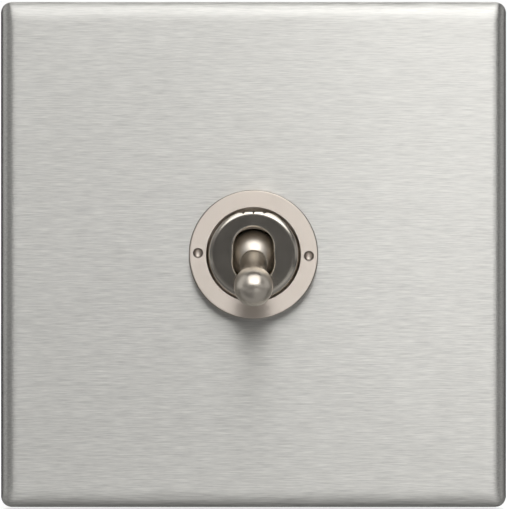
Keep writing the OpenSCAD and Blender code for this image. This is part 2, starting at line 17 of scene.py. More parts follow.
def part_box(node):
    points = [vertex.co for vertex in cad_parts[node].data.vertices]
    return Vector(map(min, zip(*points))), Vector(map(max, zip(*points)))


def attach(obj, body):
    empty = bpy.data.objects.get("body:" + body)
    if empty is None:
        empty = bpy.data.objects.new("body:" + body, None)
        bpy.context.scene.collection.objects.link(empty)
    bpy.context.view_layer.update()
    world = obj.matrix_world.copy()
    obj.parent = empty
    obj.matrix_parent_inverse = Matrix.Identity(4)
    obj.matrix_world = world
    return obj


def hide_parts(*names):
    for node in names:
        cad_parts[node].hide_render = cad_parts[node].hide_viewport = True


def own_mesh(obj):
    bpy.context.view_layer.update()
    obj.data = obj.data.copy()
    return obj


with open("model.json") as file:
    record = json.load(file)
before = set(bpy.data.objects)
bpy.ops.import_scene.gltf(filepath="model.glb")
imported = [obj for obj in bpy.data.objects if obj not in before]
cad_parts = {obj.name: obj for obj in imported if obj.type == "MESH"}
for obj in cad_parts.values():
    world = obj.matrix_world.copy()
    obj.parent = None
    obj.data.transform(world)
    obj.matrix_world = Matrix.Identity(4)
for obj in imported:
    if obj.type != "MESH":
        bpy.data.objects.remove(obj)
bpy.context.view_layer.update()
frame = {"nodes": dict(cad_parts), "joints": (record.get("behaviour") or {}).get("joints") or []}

mm = 0.001

# %% [markdown]
# ## Where everything sits
# X runs right, Z runs up, and the front faces -Y. The plate's middle on the wall is the origin. The
# pieces are drawn in millimetres, as such a switch is on paper, and turned into metres only when a mesh
# is made. The camera, the lamps and the cards are placed in metres. The main sizes are read from the
# boxes of the solid pieces, so the meshes follow them.


# %% Read the main sizes
def measured(node):
    """The lowest and highest corner of a solid piece, in millimetres."""
    low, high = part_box(node)
    return low / mm, high / mm


def joint_named(name):
    """One of the solid model's joints."""
    return next(joint for joint in frame["joints"] if joint["name"] == name)


plate_low, plate_high = measured("front_plate")
ring_low, ring_high = measured("ring_nut")
bush_low, bush_high = measured("bush")
plate_half = plate_high.x
face_y = plate_low.y
ring_r = ring_high.x
ring_y = ring_low.y
bush_y = bush_low.y
toggle = joint_named("dolly_toggle")
pivot = Vector(toggle["pos_m"]) / mm
lever_tilt = toggle["range_deg"][1] / 2
print(f"plate {2 * plate_half:.1f} mm, ring {2 * ring_r:.1f} mm, lever tilted {lever_tilt:.0f} degrees")

# %% [markdown]
# ## The camera
# The photograph looks straight at the plate from far away, with a long lens, so the plate's sides don't
# show. In Blender a long lens is a camera that stands back with a narrow angle. The angle is worked out
# from the height that the picture covers at the plate's outline, which lies about half the plate's depth
# behind its face.

# %% Place the camera
picture_h = 509
plate_px = 504.8
camera_back = 0.75
pixel = 2 * plate_half * mm / plate_px

camera = bpy.data.objects.new("camera", bpy.data.cameras.new("camera"))
bpy.context.scene.collection.objects.link(camera)
camera.location = (0, -camera_back, 0)
camera.rotation_euler = (radians(90), 0, 0)
camera.data.sensor_fit = "VERTICAL"
camera.data.angle = 2 * atan2(picture_h * pixel / 2, camera_back + face_y * mm / 2)
bpy.context.scene.camera = camera
bpy.context.scene.view_settings.view_transform = "Standard"
print(f"camera {camera_back} m away, {degrees(camera.data.angle):.2f} degrees high")

# %% [markdown]
# ## The studio
# Metal shows little of its own: it shows the room. The room here is the usual white one for small metal
# goods, so the world is white wherever the camera or a reflection looks. As a lamp that much white would
# wash the shadows out, so the soft light that the world throws is set lower. A Light Path node tells the
# two apart.
#
# The first helper makes a Math node, which most of the node trees below need.


# %% Make the white surround
def maths(tree, operation, a, b=0.0):
    """One Math node; each of a and b is a socket or a number."""
    node = tree.nodes.new("ShaderNodeMath")
    node.operation = operation
    for socket, value in zip(node.inputs, (a, b)):
        if isinstance(value, (int, float)):
            socket.default_value = value
        else:
            tree.links.new(value, socket)
    return node.outputs[0]


def where_seen(tree):
    """1 where the camera, a reflection or a look through glass arrives, and 0 for soft light."""
    path = tree.nodes.new("ShaderNodeLightPath")
    seen = path.outputs["Is Camera Ray"]
    for ray in ("Is Glossy Ray", "Is Transmission Ray"):
        seen = maths(tree, "MAXIMUM", seen, path.outputs[ray])
    return seen


ambient = 0.55
world = bpy.data.worlds.new("white_surround")
bpy.context.scene.world = world
world.use_nodes = True
sky = world.node_tree
sky.nodes.clear()
glow = sky.nodes.new("ShaderNodeBackground")
glow.inputs["Color"].default_value = (1, 1, 1, 1)
level = sky.nodes.new("ShaderNodeMapRange")
level.inputs["To Min"].default_value = ambient
level.inputs["To Max"].default_value = 1.0
surface = sky.nodes.new("ShaderNodeOutputWorld")
sky.links.new(where_seen(sky), level.inputs["Value"])
sky.links.new(level.outputs["Result"], glow.inputs["Strength"])
sky.links.new(glow.outputs[0], surface.inputs["Surface"])
print("surround:", ambient, "for soft light, 1.0 where it is seen")

# %% [markdown]
# ## Soft boxes
# A large soft box hangs above and in front, and a smaller one stands further off at the upper right. A
# third lights the back, which the photograph doesn't show. A Sun lamp would be simpler, but its
# highlights would be small and hard, and those on the lever's tip are wide and soft.


# %% Hang the soft boxes
def soft_box(name, place, width, height, radiance):
    """A rectangular lamp that faces the switch, as bright as a card of that radiance."""
    lamp = bpy.data.lights.new(name, "AREA")
    lamp.shape = "RECTANGLE"
    lamp.size, lamp.size_y = width, height
    lamp.energy = radiance * pi * width * height
    holder = bpy.data.objects.new(name, lamp)
    bpy.context.scene.collection.objects.link(holder)
    holder.location = place
    holder.rotation_euler = (-Vector(place)).to_track_quat("-Z", "Y").to_euler()
    holder.visible_camera = False


soft_box("overhead_box", place=(0.04, -0.355, 0.38), width=0.64, height=0.54, radiance=1.86)
soft_box("front_box", place=(0.21, -0.80, 0.48), width=0.42, height=0.36, radiance=1.7)
soft_box("back_box", place=(-0.35, 0.70, 0.55), width=0.5, height=0.5, radiance=1.2)

# %% [markdown]
# ## The floor
# The floor is one plain pale sheet just under the plate. Lit by the soft boxes alone it would look a
# little grey, so Light Path adds some glow where the camera or a reflection sees it. The glow lifts it
# towards white, and the switch's shadow stays.


# %% Lay the floor
def sheet(name, xs, ys, zs, mat):
    """A flat sheet. Two of the ranges are (from, to) and the third is one place, all in metres."""
    spans = [span if isinstance(span, tuple) else (span, span) for span in (xs, ys, zs)]
    across, along = [axis for axis in range(3) if spans[axis][0] != spans[axis][1]]
    corners = []
    for u, v in ((0, 0), (1, 0), (1, 1), (0, 1)):
        corner = [span[0] for span in spans]
        corner[across], corner[along] = spans[across][u], spans[along][v]
        corners.append(corner)
    mesh = bpy.data.meshes.new(name)
    mesh.from_pydata(corners, [], [(0, 1, 2, 3)])
    mesh.materials.append(mat)
    flat = bpy.data.objects.new(name, mesh)
    bpy.context.scene.collection.objects.link(flat)
    return flat


def paper(name, tone, tooth=0.03):
    """A matt sheet of one grey, with a faint mottle."""
    mat = bpy.data.materials.new(name)
    mat.use_nodes = True
    tree = mat.node_tree
    shader = tree.nodes["Principled BSDF"]
    shader.inputs["Roughness"].default_value = 0.9
    shader.inputs["Specular IOR Level"].default_value = 0.1
    noise = tree.nodes.new("ShaderNodeTexNoise")
    noise.inputs["Scale"].default_value = 12
    mottle = tree.nodes.new("ShaderNodeMapRange")
    mottle.inputs["To Min"].default_value = tone - tooth
    mottle.inputs["To Max"].default_value = tone + tooth
    tree.links.new(noise.outputs["Fac"], mottle.inputs["Value"])
    tree.links.new(mottle.outputs["Result"], shader.inputs["Base Color"])
    return mat


def add_glow(mat, strength):
    """Let a sheet glow where the camera or a reflection sees it."""
    tree = mat.node_tree
    shader = tree.nodes["Principled BSDF"]
    shader.inputs["Emission Color"].default_value = (1, 1, 1, 1)
    shine = maths(tree, "MULTIPLY", where_seen(tree), strength)
    tree.links.new(shine, shader.inputs["Emission Strength"])


floor_gap, floor_half, floor_tone, floor_glow = 0.0004, 2, 0.8, 0.5
floor_z = plate_low.z * mm - floor_gap
floor_paper = paper("pale_floor", floor_tone)
add_glow(floor_paper, floor_glow)
sheet("floor", (-floor_half, floor_half), (-floor_half, floor_half), floor_z, floor_paper)
print("floor at", round(floor_z / mm, 1), "mm")

# %% [markdown]
# ## Cards that only the metal sees
# A photographer of small metal goods hangs cards just outside the picture, because a white room alone
# would leave polished metal without any edges. Here they make a tent round the switch. Dark and grey
# cards stand in front, where the camera is, with a white one at the upper left. Each side wall has a flag
# beside the plate, the roof is dark, and cloths of several greys lie on the floor. The plate's rolled
# edges see the flags and the nearest cloths, and the lever's round tip sees the whole tent.
#
# The cards are staging: the camera can't see them and they cast no shadow, so they work in reflections
# alone.


# %% Hang the cards
def card(name, tone, xs, ys, zs):
    """A glowing sheet that shows in reflections only, as bright there as its tone."""
    mat = bpy.data.materials.new(name)
    mat.use_nodes = True
    shader = mat.node_tree.nodes["Principled BSDF"]
    shader.inputs["Base Color"].default_value = (0, 0, 0, 1)
    shader.inputs["Specular IOR Level"].default_value = 0
    shader.inputs["Emission Color"].default_value = (1, 1, 1, 1)
    shader.inputs["Emission Strength"].default_value = tone
    flat = sheet(name, xs, ys, zs, mat)
    flat.visible_camera = False
    flat.visible_diffuse = False
    flat.visible_shadow = False


dark, dim, grey, middle, light, white = 0.05, 0.18, 0.34, 0.5, 0.62, 1.0
tent_left, tent_right, tent_front, tent_back = -0.36, 0.42, -0.80, 1.6
flag_front, flag_back = -0.17, 0.12
step_z, mid_z, wall_z, roof_z = 0.13, 0.30, 0.55, 0.62
card("camera_card", dark, (tent_left, tent_right), tent_front, (floor_z, step_z))
card("front_left", dark, (tent_left, 0), tent_front, (step_z, mid_z))
card("front_right", grey, (0, tent_right), tent_front, (step_z, mid_z))
card("front_white", white, (tent_left, 0), tent_front, (mid_z, roof_z))
walls = {"left": (tent_left, dim, grey, light, dark), "right": (tent_right, middle, dark, middle, dim)}
for side, (wall_x, low_tone, high_tone, flag_tone, back_tone) in walls.items():
    card(side + "_low", low_tone, wall_x, (tent_front, flag_front), (floor_z, step_z))
    card(side + "_high", high_tone, wall_x, (tent_front, flag_front), (step_z, wall_z))
    card(side + "_flag", flag_tone, wall_x, (flag_front, flag_back), (floor_z, wall_z))
    card(side + "_back", back_tone, wall_x, (flag_back, tent_back), (floor_z, wall_z))
roof_half, roof_seam, roof_back = 0.8, -0.16, 1.0
card("roof_front", dark, (-roof_half, roof_half), (tent_front, roof_seam), roof_z)
card("roof_back", dark, (-roof_half, roof_half), (roof_seam, roof_back), roof_z)

cloth_seam, cloth_far, cloth_near, plate_foot = 0.12, -0.09, -0.03, -0.008
stand_left, stand_right, stand_back = -0.2, 0.02, -0.11
foot_half, foot_back, foot_end = 0.06, 0.01, 0.4
cloth_z, stand_z, strip_z, back_z = (floor_z + lift for lift in (0.001, 0.0015, 0.0002, 0.0001))
card("front_cloth", light, (tent_left, cloth_seam), (tent_front, cloth_far), cloth_z)
card("stand_cloth", dim, (stand_left, stand_right), (tent_front, stand_back), stand_z)
card("right_cloth", dark, (cloth_seam, tent_right), (tent_front, cloth_far), cloth_z)
card("middle_left_cloth", dim, (tent_left, 0), (cloth_far, cloth_near), cloth_z)
card("middle_right_cloth", grey, (0, tent_right), (cloth_far, cloth_near), cloth_z)
card("near_cloth", grey, (tent_left, tent_right), (cloth_near, plate_foot), cloth_z)
card("back_cloth", dark, (tent_left, tent_right), (plate_foot, tent_back), back_z)
card("foot_strip", dim, (-foot_half, foot_half), (plate_foot, foot_back), strip_z)
card("foot_back_strip", middle, (-foot_half, foot_half), (foot_back, foot_end), strip_z)

# %% [markdown]
# ## Node groups for the finishes
# Several finishes share an effect, so each effect is a node group: built once and dropped into every
# material with its own numbers. `streaks` draws the long fine scratches of brushed or rolled metal by
# stretching noise along one direction. `grain` draws the even speckle of blasted, plated or moulded
# surfaces. `tarnish` gives the slow cloudy change of tone that any handled surface has. `inside` finds
# the wall of a hole, which no polishing wheel reaches: the bush's finish makes that wall rougher and
# paints it lighter, as painted light in the hole.


# %% Build the shared node groups
def group(name, inputs, outputs):
    """An empty shader group with float inputs, a Vector input first, and named outputs."""
    tree = bpy.data.node_groups.new(name, "ShaderNodeTree")
    tree.interface.new_socket("Vector", in_out="INPUT", socket_type="NodeSocketVector")
    for label, value in inputs.items():
        socket = tree.interface.new_socket(label, in_out="INPUT", socket_type="NodeSocketFloat")
        socket.default_value = value
    for label in outputs:
        tree.interface.new_socket(label, in_out="OUTPUT", socket_type="NodeSocketFloat")
    return tree, tree.nodes.new("NodeGroupInput"), tree.nodes.new("NodeGroupOutput")


def noise_of(tree, vector, scale, detail, roughness=0.5):
    """A Noise Texture's value, spread to about -1 to 1."""
    noise_middle, noise_spread = 0.5, 4.0
    node = tree.nodes.new("ShaderNodeTexNoise")
    node.inputs["Detail"].default_value = detail
    node.inputs["Roughness"].default_value = roughness
    tree.links.new(vector, node.inputs["Vector"])
    if isinstance(scale, (int, float)):
        node.inputs["Scale"].default_value = scale
    else:
        tree.links.new(scale, node.inputs["Scale"])
    centred = maths(tree, "SUBTRACT", node.outputs["Fac"], noise_middle)
    return maths(tree, "MULTIPLY", centred, noise_spread)


def build_streaks():
    """Long scratches along X: noise squeezed across the grain, one fine layer and one broader layer."""
    tree, given, put = group("streaks", {"Fineness": 6.0, "Length": 5.0}, ["Scratch", "Band"])
    fineness, length = given.outputs["Fineness"], given.outputs["Length"]
    broader = 3.0
    split = tree.nodes.new("ShaderNodeSeparateXYZ")
    tree.links.new(given.outputs["Vector"], split.inputs[0])

    def layer(per_mm, stretch, detail):
        squeezed = tree.nodes.new("ShaderNodeCombineXYZ")
        along = maths(tree, "DIVIDE", split.outputs["X"], stretch)
        tree.links.new(along, squeezed.inputs["X"])
        for axis in "YZ":
            across = maths(tree, "MULTIPLY", split.outputs[axis], per_mm)
            tree.links.new(across, squeezed.inputs[axis])
        return noise_of(tree, squeezed.outputs[0], 1.0, detail, roughness=0.6)

    fine = layer(fineness, length, 3)
    slow = layer(maths(tree, "DIVIDE", fineness, broader), maths(tree, "MULTIPLY", length, broader), 2)
    tree.links.new(fine, put.inputs["Scratch"])
    tree.links.new(slow, put.inputs["Band"])
    return tree


def build_grain():
    """Even speckle, with a finer tooth laid over it."""
    tree, given, put = group("grain", {"Size": 0.1}, ["Speckle"])
    finer = 2.7
    per_mm = maths(tree, "DIVIDE", 1.0, given.outputs["Size"])
    coarse = noise_of(tree, given.outputs["Vector"], per_mm, 2)
    fine = noise_of(tree, given.outputs["Vector"], maths(tree, "MULTIPLY", per_mm, finer), 1)
    tree.links.new(maths(tree, "MULTIPLY", maths(tree, "ADD", coarse, fine), 0.5), put.inputs["Speckle"])
    return tree


def build_tarnish():
    """Slow clouds, a few millimetres across."""
    tree, given, put = group("tarnish", {"Size": 6.0}, ["Cloud"])
    per_mm = maths(tree, "DIVIDE", 1.0, given.outputs["Size"])
    tree.links.new(noise_of(tree, given.outputs["Vector"], per_mm, 3), put.inputs["Cloud"])
    return tree


def build_inside():
    """1 inside a hole about the Y axis, from a given depth on, and 0 outside it."""
    tree, given, put = group("inside", {"Depth": 0.0, "Radius": 1.0}, ["Mask"])
    fade_deep = 0.3
    split = tree.nodes.new("ShaderNodeSeparateXYZ")
    tree.links.new(given.outputs["Vector"], split.inputs[0])
    x_squared, z_squared = [maths(tree, "POWER", split.outputs[axis], 2.0) for axis in "XZ"]
    across = maths(tree, "SQRT", maths(tree, "ADD", x_squared, z_squared))
    near = maths(tree, "LESS_THAN", across, given.outputs["Radius"])
    past = maths(tree, "SUBTRACT", split.outputs["Y"], given.outputs["Depth"])
    deep = tree.nodes.new("ShaderNodeMapRange")
    deep.inputs["From Max"].default_value = fade_deep
    tree.links.new(past, deep.inputs["Value"])
    tree.links.new(maths(tree, "MULTIPLY", near, deep.outputs["Result"]), put.inputs["Mask"])
    return tree


groups = {
    "streaks": build_streaks(), "grain": build_grain(), "tarnish": build_tarnish(), "inside": build_inside(),
}
print("node groups:", sorted(groups))

# %% [markdown]
# ## One recipe for every finish
# All the finishes are a Principled BSDF whose colour, roughness and bump are nudged by the groups above.
# The recipe takes the plain colour and how strongly each effect works. What is the same all over, such as
# metalness or anisotropy, goes on the shader's own socket. The groups read object coordinates, scaled to
# millimetres, so a scratch keeps its real size on every piece.

# %% Write the finish recipe
effects = {
    "streaks": ("Scratch", ["Fineness", "Length"]),
    "grain": ("Speckle", ["Size"]),
    "tarnish": ("Cloud", ["Size"]),
    "inside": ("Mask", ["Depth", "Radius"]),
}
band_share = 4


def summed(tree, terms, start):
    """A start value plus every socket times its amount."""
    total = start
    for socket, amount in terms:
        total = maths(tree, "ADD", maths(tree, "MULTIPLY", socket, amount), total)
    return total


def finish(name, colour, rough, metal=1.0, anisotropic=0.0,
           streak=None, speckle=None, cloud=None, inside=None):
    """A material. streak = (fineness, length, tone, roughness, bump), speckle = (size, tone, roughness,
    bump), cloud = (size, tone, roughness) and inside = (depth, radius, tone, roughness). Sizes and bumps are
    in mm, fineness is scratches per mm, and tone and roughness say how far the effect moves them."""
    mat = bpy.data.materials.new(name)
    mat.use_nodes = True
    tree = mat.node_tree
    shader = tree.nodes["Principled BSDF"]
    shader.inputs["Metallic"].default_value = metal
    shader.inputs["Anisotropic"].default_value = anisotropic
    place = tree.nodes.new("ShaderNodeTexCoord")
    in_mm = tree.nodes.new("ShaderNodeVectorMath")
    in_mm.operation = "SCALE"
    in_mm.inputs["Scale"].default_value = 1 / mm
    tree.links.new(place.outputs["Object"], in_mm.inputs[0])

    tones, rubs, heights = [], [], []
    asked = {"streaks": streak, "grain": speckle, "tarnish": cloud, "inside": inside}
    for kind, numbers in asked.items():
        if not numbers:
            continue
        output, sizes = effects[kind]
        node = tree.nodes.new("ShaderNodeGroup")
        node.node_tree = groups[kind]
        tree.links.new(in_mm.outputs[0], node.inputs["Vector"])
        for label, value in zip(sizes, numbers):
            node.inputs[label].default_value = value
        tone, rub, *bump_mm = numbers[len(sizes):]
        tones.append((node.outputs[output], tone))
        rubs.append((node.outputs[output], rub))
        heights += [(node.outputs[output], height) for height in bump_mm]
        if kind == "streaks":
            tones.append((node.outputs["Band"], tone / band_share))

    tint = tree.nodes.new("ShaderNodeVectorMath")
    tint.operation = "SCALE"
    tint.inputs[0].default_value = colour
    tree.links.new(summed(tree, tones, 1.0), tint.inputs["Scale"])
    tree.links.new(tint.outputs[0], shader.inputs["Base Color"])
    tree.links.new(summed(tree, rubs, rough), shader.inputs["Roughness"])
    if heights:
        bump = tree.nodes.new("ShaderNodeBump")
        bump.inputs["Distance"].default_value = mm
        tree.links.new(summed(tree, heights, 0.0), bump.inputs["Height"])
        tree.links.new(bump.outputs["Normal"], shader.inputs["Normal"])
    print("finish:", name)
    return mat


# %% [markdown]
# ## From rings of points to a mesh
# Nearly every metal piece here is made on a lathe, so one helper does most of the work. It takes a list
# of angles and a list of rows, and each row says how far out (radius) and how deep (Y) the surface lies
# at an angle. Joining the rows gives clean quads, and a row may be round, square or any outline that the
# axis can see. The rows run in a closed loop or start and end on the axis, so a piece has no open edge.


# %% Write the turning helpers
least = 1e-9


def even(count):
    """Angles round the axis, evenly spread."""
    return [2 * pi * i / count for i in range(count)]


def swept(angles, rows, closed=True):
    """Points and quads of a surface whose rows are functions of the angle, each giving (radius, y)."""
    points, quads = [], []
    for row in rows:
        for angle in angles:
            radius, y = row(angle)
            points.append((radius * cos(angle), y, radius * sin(angle)))
    n, m = len(angles), len(rows)
    for i in range(m if closed else m - 1):
        for k in range(n):
            a, b = i * n + k, i * n + (k + 1) % n
            c, d = (i + 1) % m * n + (k + 1) % n, (i + 1) % m * n + k
            quads.append((a, b, c, d))
    return points, quads


def ring_row(radius, y):
    """A row that is a plain circle."""
    return lambda angle: (radius, y)


def rows_of(profile):
    """A profile of (radius, y) points as plain circles."""
    return [ring_row(radius, y) for radius, y in profile]


def out_to_block(angle, half_w, half_h, corner):
    """Distance from the axis to the side of a rounded rectangle."""
    c, s = abs(cos(angle)), abs(sin(angle))
    out = min(half_w / max(c, least), half_h / max(s, least))
    mid_x, mid_z = half_w - corner, half_h - corner
    if out * c > mid_x and out * s > mid_z:
        along = mid_x * c + mid_z * s
        out = along + sqrt(max(along * along - mid_x ** 2 - mid_z ** 2 + corner ** 2, 0.0))
    return out


def arc(centre, radius, start, stop, steps):
    """Points on an arc in a profile, as (x, y), angles in degrees."""
    return [
        (centre[0] + radius * cos(radians(start + (stop - start) * i / steps)),
         centre[1] + radius * sin(radians(start + (stop - start) * i / steps)))
        for i in range(steps + 1)
    ]


def welded(name, points, faces, near):
    """A mesh whose points are one where they lie that near, with its faces turned outwards."""
    mesh = bpy.data.meshes.new(name)
    mesh.from_pydata(points, [], faces)
    bm = bmesh.new()
    bm.from_mesh(mesh)
    bmesh.ops.remove_doubles(bm, verts=bm.verts, dist=near)
    bmesh.ops.recalc_face_normals(bm, faces=bm.faces)
    bm.to_mesh(mesh)
    bm.free()
    return mesh


def made(name, points, faces, mat, body, slot, replaces=None, sharp=35, matrix=None):
    """Turn points in millimetres into a finished piece that rides on a body."""
    mesh = welded(name, points, faces, near=1e-4)
    if matrix:
        mesh.transform(matrix)
    mesh.transform(Matrix.Scale(mm, 4))
    mesh.shade_smooth()
    mesh.set_sharp_from_angle(angle=radians(sharp))
    piece = bpy.data.objects.new(name, mesh)
    bpy.context.scene.collection.objects.link(piece)
    mesh.materials.append(mat)
    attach(piece, body)
    if replaces:
        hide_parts(replaces)
    print(f"{name}: {len(mesh.polygons)} faces on {body}")
    return piece


# %% [markdown]
# ## The front plate
# The real plate is pressed from sheet steel, and its four edges roll softly back to the wall. A bevelled
# cube would give a hard start to the roll, so the edge here follows a superellipse: it leaves the flat
# face almost unseen, 3.6 mm in, and turns steep only near the outline. Each row of the mesh is a rounded
# square a little larger than the last one, and the rows return inside, one sheet thickness lower, from
# the rear rim to the hole.
#
# The brushing runs from side to side. Light then spreads up and down, across the scratches, so the
# shader's anisotropy needs a tangent that points up: a UV map whose U runs along Z gives that.

# %% Build the front plate
roll_in, roll_deep, roll_power = 3.6, 2.4, 2.4
plan_corner, mitre_corner, least_corner = 1.9, 0.7, 0.3
sheet_t, plate_hole, plate_sides = 1.2, 8.1, 120
hole_bevel, rim_bevel = 0.1, 0.15


def square_row(inset, y, corner):
    """A rounded square that far inside the plate's outline."""
    half = plate_half - inset
    return lambda angle: (out_to_block(angle, half, half, corner), y)


def rolled_rows(shrink, steps):
    """Rows from the flat face out to the side wall, for the sheet's outside (shrink 0) or its inside."""
    rows = []
    for i in range(steps + 1):
        turn = radians(90 * i / steps)
        inset = roll_in * (1 - sin(turn) ** (2 / roll_power))
        rise = roll_deep * cos(turn) ** (2 / roll_power)
        share = inset / roll_in
        corner = plan_corner * (1 - share) + mitre_corner * share
        y = face_y + roll_deep - rise
        shrunk = inset * (1 - shrink / roll_in) + shrink
        rows.append(square_row(shrunk, min(y + shrink, 0), max(corner - shrink, least_corner)))
    return rows


def brushed(piece, mat):
    """Brush a piece from side to side: its highlights spread up and down."""
    span = 2 * plate_half * mm
    uv = piece.data.uv_layers.new(name="brushing")
    for loop in piece.data.loops:
        place = piece.data.vertices[loop.vertex_index].co
        uv.data[loop.index].uv = (place.z / span + 0.5, place.x / span + 0.5)
    tree = mat.node_tree
    upright = tree.nodes.new("ShaderNodeTangent")
    upright.direction_type = "UV_MAP"
    upright.uv_map = "brushing"
    tree.links.new(upright.outputs[0], tree.nodes["Principled BSDF"].inputs["Tangent"])


corner_turns = (0.25, 0.5, 0.8, 1.2, 1.6)
mitres = [quarter * pi / 2 + pi / 4 for quarter in range(4)]
near_corner = [mitre + side * radians(t) for mitre in mitres for side in (-1, 0, 1) for t in corner_turns]
plate_angles = sorted({round(a % (2 * pi), 6) for a in even(plate_sides) + near_corner})
plate_rows = rows_of([(plate_hole, face_y + sheet_t), (plate_hole, face_y + hole_bevel)])
plate_rows += rows_of([(plate_hole + hole_bevel, face_y)])
plate_rows += rolled_rows(0, steps=18)
plate_rows += [square_row(0, -rim_bevel, plan_corner), square_row(rim_bevel, 0, plan_corner)]
plate_rows += [square_row(sheet_t, 0, plan_corner - sheet_t)]
plate_rows += rolled_rows(sheet_t, steps=8)[::-1]
brushed_steel = finish("brushed_steel", (0.70, 0.691, 0.658), rough=0.4, anisotropic=0.97,
                       streak=(5.0, 3.5, 0.19, 0.05, 0.003), cloud=(14.0, 0.01, 0.01))
plate = made("front_plate_sheet", *swept(plate_angles, plate_rows), brushed_steel,
             "base", "front_plate", "front_plate")
brushed(plate, brushed_steel)

# %% [markdown]
# ## Screw threads
# The ring nut, the bush, the wall screws and the clamp screws carry real threads. A thread is one groove
# that climbs as it goes round, so its depth depends on the height along the axis and on the angle
# together. Feeding both into a zigzag gives a helix from plain rows, with no modifier and no boolean. The
# ring nut and the bush use the same pitch and phase, so the two threads sit in each other as they do on
# the real switch.
#
# The helpers after the thread's fill a flat face between loops, join parts into one and shift a part
# sideways.

# %% Write the thread helpers
bush_pitch, thread_deep = 1.0, 0.5
crest, flank = 0.12, 0.76


def groove(y, angle, pitch):
    """How deep a thread lies here, from 0 on its crest to 1 at its root."""
    turn = (y / pitch + angle / (2 * pi)) % 1.0
    return min(max((abs(2 * turn - 1) - crest) / flank, 0.0), 1.0)


def threaded_row(radius, y, pitch, deep, fade=1.0):
    """A row of a thread whose widest radius is given. fade runs the groove out at a thread's end."""
    return lambda angle: (radius - deep * fade * groove(y, angle, pitch), y)


def steps_between(start, stop, step):
    """Even places from start to stop, about one step apart."""
    count = max(1, round(abs(stop - start) / step))
    return [start + (stop - start) * i / count for i in range(count + 1)]


def parts_of(bm, unit=1.0):
    """Points and faces of a bmesh, whose memory is then freed."""
    bm.verts.index_update()
    points = [tuple(v.co / unit) for v in bm.verts]
    faces = [tuple(v.index for v in f.verts) for f in bm.faces]
    bm.free()
    return points, faces


def flat_fill(loops, y):
    """Triangles that fill a flat face between loops of (x, z) points, the inner loops being holes."""
    bm = bmesh.new()
    edges = []
    for loop in loops:
        verts = [bm.verts.new((x, y, z)) for x, z in loop]
        edges += [bm.edges.new((verts[i - 1], verts[i])) for i in range(len(verts))]
    bmesh.ops.triangle_fill(bm, use_beauty=True, edges=edges)
    return parts_of(bm)


def joined(*parts):
    """Several lists of points and faces as one."""
    points, faces = [], []
    for some_points, some_faces in parts:
        faces += [tuple(i + len(points) for i in face) for face in some_faces]
        points += some_points
    return points, faces


def moved(part, x, z):
    """The same part, shifted across the plate."""
    points, faces = part
    return [(px + x, py, pz + z) for px, py, pz in points], faces


# %% [markdown]
# ## The ring nut
# This ring screws on the bush and holds the plate. Its face is blasted to a warm satin, its outer edge is
# softly rounded, and two small blind holes take the pins of a ring spanner. The holes end in a shallow
# dish that catches the light from above on its lower side. A boolean could cut them, but a flat fill
# between four circles gives the same face with no risk, and each hole is a little turned strip that meets
# its circle. The steep faces, the outer edge and the sides of the holes, get a darker nickel: painted
# shade that draws the dark line round the edge and the dark ring in each hole.

# %% Build the ring nut
thread_r, thread_step = 8.0, 0.1
mouth_r, mouth_wall, mouth_deep, mouth_bevel = 8.2, 0.35, 1.6, 0.05
edge_round, back_bevel, hold = 0.3, 0.1, 0.03
hole_r, hole_wall, hole_lip, hole_dish = 0.85, 0.5, 0.04, 0.4
hole_out, ring_turn = 9.6, -1.5
ring_sides, hole_sides = 144, 40
dish_steps = (1.0, 0.85, 0.7, 0.55, 0.4, 0.2, 0.0)
steep = 0.85


def circle(radius, count, x=0.0, z=0.0):
    """Points on a circle, as (x, z)."""
    return [(x + radius * cos(a), z + radius * sin(a)) for a in even(count)]


mouth = [(mouth_r, ring_y + mouth_wall), (mouth_r, ring_y + mouth_bevel), (mouth_r + mouth_bevel, ring_y),
         (mouth_r + mouth_bevel + hold, ring_y)]
inner_ys = steps_between(face_y, ring_y + mouth_deep, thread_step)
inner_rows = [threaded_row(thread_r, y, bush_pitch, thread_deep) for y in inner_ys] + rows_of(mouth)
rim = [(ring_r - edge_round - hold, ring_y)]
rim += arc((ring_r - edge_round, ring_y + edge_round), edge_round, -90, 0, 8)
outer_rows = rows_of(rim + [(ring_r, face_y - back_bevel), (ring_r - back_bevel, face_y)]) + inner_rows[:1]

hole_edge, dish_y = hole_r + hole_lip + hold, ring_y + hole_wall
hole_profile = [(hole_edge, ring_y), (hole_r + hole_lip, ring_y), (hole_r, ring_y + hole_lip)]
hole_profile += [(hole_r * out, dish_y + hole_dish * (1 - out ** 2)) for out in dish_steps]
spanner_hole = swept(even(hole_sides), rows_of(hole_profile), closed=False)
hole_turns = [radians(ring_turn), radians(ring_turn + 180)]
spanner_spots = [(hole_out * cos(turn), hole_out * sin(turn)) for turn in hole_turns]
face_loops = [circle(rim[0][0], ring_sides), circle(mouth[-1][0], ring_sides)]
face_loops += [circle(hole_edge, hole_sides, x, z) for x, z in spanner_spots]

ring_parts = [swept(even(ring_sides), inner_rows, closed=False), flat_fill(face_loops, ring_y)]
ring_parts += [swept(even(ring_sides), outer_rows, closed=False)]
ring_parts += [moved(spanner_hole, x, z) for x, z in spanner_spots]
satin_nickel = finish("satin_nickel", (0.76, 0.681, 0.607), rough=0.43, anisotropic=0.92,
                      speckle=(0.16, 0.02, 0.02, 0.0012), cloud=(5.0, 0.012, 0.015))
edge_shade_nickel = finish("edge_shade_nickel", (0.36, 0.315, 0.28), rough=0.35, speckle=(0.2, 0.03, 0.03, 0.0008))
ring = made("ring_nut_turned", *joined(*ring_parts), satin_nickel, "base", "ring_nut", "ring_nut")
brushed(ring, satin_nickel)
ring.data.materials.append(edge_shade_nickel)
# Steep faces outside the bore get the darker nickel: painted shade on the ring's edge and in the holes.
for face in ring.data.polygons:
    beyond_bore = Vector((face.center.x, face.center.z)).length > (mouth_r + mouth_bevel) * mm
    face.material_index = int(beyond_bore and abs(face.normal.y) < steep)
